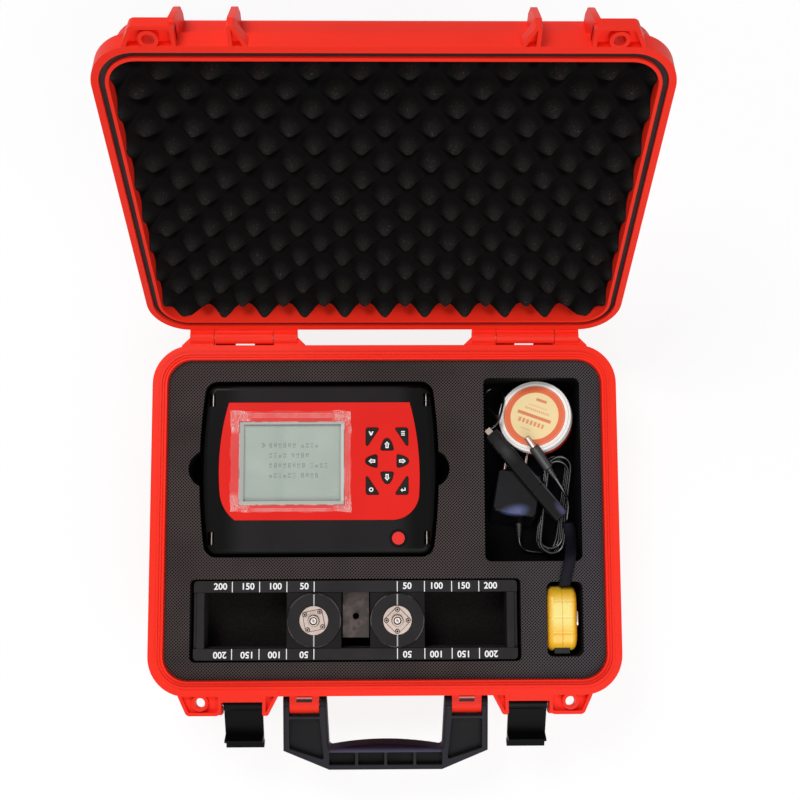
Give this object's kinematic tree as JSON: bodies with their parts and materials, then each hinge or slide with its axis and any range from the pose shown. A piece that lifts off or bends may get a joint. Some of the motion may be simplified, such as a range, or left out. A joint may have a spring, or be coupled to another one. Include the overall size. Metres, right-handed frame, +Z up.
{
  "type": "crack depth tester",
  "caption": "Hand-held crack depth tester in an open hard case, with a sliding two-transducer ruler frame, couplant tin, charger, tape measure and cut-out foam.",
  "frame": {"origin": "centre of the case's underside, on the surface it stands on", "axes": "+Z up, +X to the right and +Y to the back, towards the lid's hinges"},
  "size_m": [0.43, 0.597, 0.4027],
  "materials": {
    "case_red": "satin",
    "trim_black": "satin",
    "seal_black": "matte",
    "pin_steel": "satin",
    "foam_grey": "matte",
    "foam_black": "matte",
    "shell_black": "matte",
    "face_red": "satin",
    "window_clear": "gloss",
    "lcd_grey": "satin",
    "key_rubber": "matte",
    "board_green": "satin",
    "battery_blue": "satin",
    "fitting_nickel": "polished",
    "ruler_black": "satin",
    "plate_metal": "satin",
    "tin_paint": "gloss",
    "tin_lid_paint": "gloss",
    "cord_black": "satin",
    "strap_fabric": "matte",
    "tape_yellow": "gloss"
  },
  "bodies": {
    "base": {"case_base": "case_red", "hinge_pins": "pin_steel", "front_pins": "pin_steel", "base_foam": "foam_grey", "tin_body": "tin_paint", "adapter_case": "shell_black", "adapter_blades": "fitting_nickel", "adapter_relief": "cord_black", "cord_adapter_end": "cord_black", "cord_hank": "cord_black", "cord_plug_end": "cord_black", "dc_plug": "cord_black", "dc_plug_barrel": "fitting_nickel", "stick_barrel": "shell_black", "stick_clasp": "pin_steel", "stick_lanyard": "strap_fabric"},
    "lid": {"case_lid": "case_red", "lid_gasket": "seal_black", "lid_foam": "foam_black"},
    "latch_left": {"latch_left": "trim_black"},
    "latch_right": {"latch_right": "trim_black"},
    "handle": {"carry_handle": "trim_black"},
    "tester": {"front_housing": "shell_black", "back_housing": "shell_black", "faceplate": "face_red", "display_window": "window_clear", "lcd_panel": "lcd_grey", "keypad_mat": "key_rubber", "main_board": "board_green", "battery_pack": "battery_blue", "housing_screws": "pin_steel", "tester_sockets": "fitting_nickel", "strap_pins": "pin_steel"},
    "ruler": {"ruler_rail_back": "ruler_black", "ruler_rail_front": "ruler_black", "ruler_end_left": "ruler_black", "ruler_end_right": "ruler_black", "centre_plate": "plate_metal"},
    "slider_left": {"carrier_left": "ruler_black", "transducer_left": "ruler_black", "connector_left": "fitting_nickel"},
    "slider_right": {"carrier_right": "ruler_black", "transducer_right": "ruler_black", "connector_right": "fitting_nickel"},
    "tape": {"tape_shell_left": "tape_yellow", "tape_shell_right": "tape_yellow", "tape_mouth": "key_rubber", "tape_clip": "pin_steel", "tape_band": "strap_fabric"},
    "tin_lid": {"tin_lid": "tin_lid_paint"},
    "stick_cap": {"stick_cap": "shell_black"},
    "power_button": {"power_button": "face_red"},
    "key_up": {"key_up": "key_rubber"},
    "key_left": {"key_left": "key_rubber"},
    "key_down": {"key_down": "key_rubber"},
    "key_right": {"key_right": "key_rubber"},
    "key_top_left": {"key_top_left": "key_rubber"},
    "key_top_right": {"key_top_right": "key_rubber"},
    "key_bottom_left": {"key_bottom_left": "key_rubber"},
    "key_bottom_right": {"key_bottom_right": "key_rubber"}
  },
  "joints": [
    {"name": "lid_hinge", "type": "hinge", "parent": "base", "child": "lid", "pos_m": [0, 0.1678, 0.1025], "axis": [-1, 0, 0], "range_deg": [-119, 0]},
    {"name": "latch_left_pivot", "type": "hinge", "parent": "base", "child": "latch_left", "pos_m": [-0.1295, -0.169, 0.091], "axis": [1, 0, 0], "range_deg": [-118, 50]},
    {"name": "latch_right_pivot", "type": "hinge", "parent": "base", "child": "latch_right", "pos_m": [0.1295, -0.169, 0.091], "axis": [1, 0, 0], "range_deg": [-118, 50]},
    {"name": "handle_pivot", "type": "hinge", "parent": "base", "child": "handle", "pos_m": [0, -0.17, 0.077], "axis": [1, 0, 0], "range_deg": [-80, 70]},
    {"name": "tester_lift", "type": "slide", "parent": "base", "child": "tester", "axis": [0, 0, 1], "range_m": [0, 0.06]},
    {"name": "ruler_lift", "type": "slide", "parent": "base", "child": "ruler", "axis": [0, 0, 1], "range_m": [0, 0.06]},
    {"name": "tape_lift", "type": "slide", "parent": "base", "child": "tape", "axis": [0, 0, 1], "range_m": [0, 0.06]},
    {"name": "slide_left", "type": "slide", "parent": "ruler", "child": "slider_left", "axis": [-1, 0, 0], "range_m": [0, 0.075]},
    {"name": "slide_right", "type": "slide", "parent": "ruler", "child": "slider_right", "axis": [1, 0, 0], "range_m": [0, 0.075]},
    {"name": "tin_lid_turn", "type": "hinge", "parent": "base", "child": "tin_lid", "pos_m": [0.1476, 0.0921, 0.06141], "axis": [-0.2862, 0.1653, 0.9438], "continuous": true},
    {"name": "stick_cap_pull", "type": "slide", "parent": "base", "child": "stick_cap", "axis": [0.6428, -0.766, 0], "range_m": [0, 0.015]},
    {"name": "power_press", "type": "slide", "parent": "tester", "child": "power_button", "axis": [0, 0, 1], "range_m": [-0.0008, 0], "stiffness_N_per_m": 600},
    {"name": "press_up", "type": "slide", "parent": "tester", "child": "key_up", "axis": [0, 0, 1], "range_m": [-0.0008, 0], "stiffness_N_per_m": 600},
    {"name": "press_left", "type": "slide", "parent": "tester", "child": "key_left", "axis": [0, 0, 1], "range_m": [-0.0008, 0], "stiffness_N_per_m": 600},
    {"name": "press_down", "type": "slide", "parent": "tester", "child": "key_down", "axis": [0, 0, 1], "range_m": [-0.0008, 0], "stiffness_N_per_m": 600},
    {"name": "press_right", "type": "slide", "parent": "tester", "child": "key_right", "axis": [0, 0, 1], "range_m": [-0.0008, 0], "stiffness_N_per_m": 600},
    {"name": "press_top_left", "type": "slide", "parent": "tester", "child": "key_top_left", "axis": [0, 0, 1], "range_m": [-0.0008, 0], "stiffness_N_per_m": 600},
    {"name": "press_top_right", "type": "slide", "parent": "tester", "child": "key_top_right", "axis": [0, 0, 1], "range_m": [-0.0008, 0], "stiffness_N_per_m": 600},
    {"name": "press_bottom_left", "type": "slide", "parent": "tester", "child": "key_bottom_left", "axis": [0, 0, 1], "range_m": [-0.0008, 0], "stiffness_N_per_m": 600},
    {"name": "press_bottom_right", "type": "slide", "parent": "tester", "child": "key_bottom_right", "axis": [0, 0, 1], "range_m": [-0.0008, 0], "stiffness_N_per_m": 600}
  ]
}
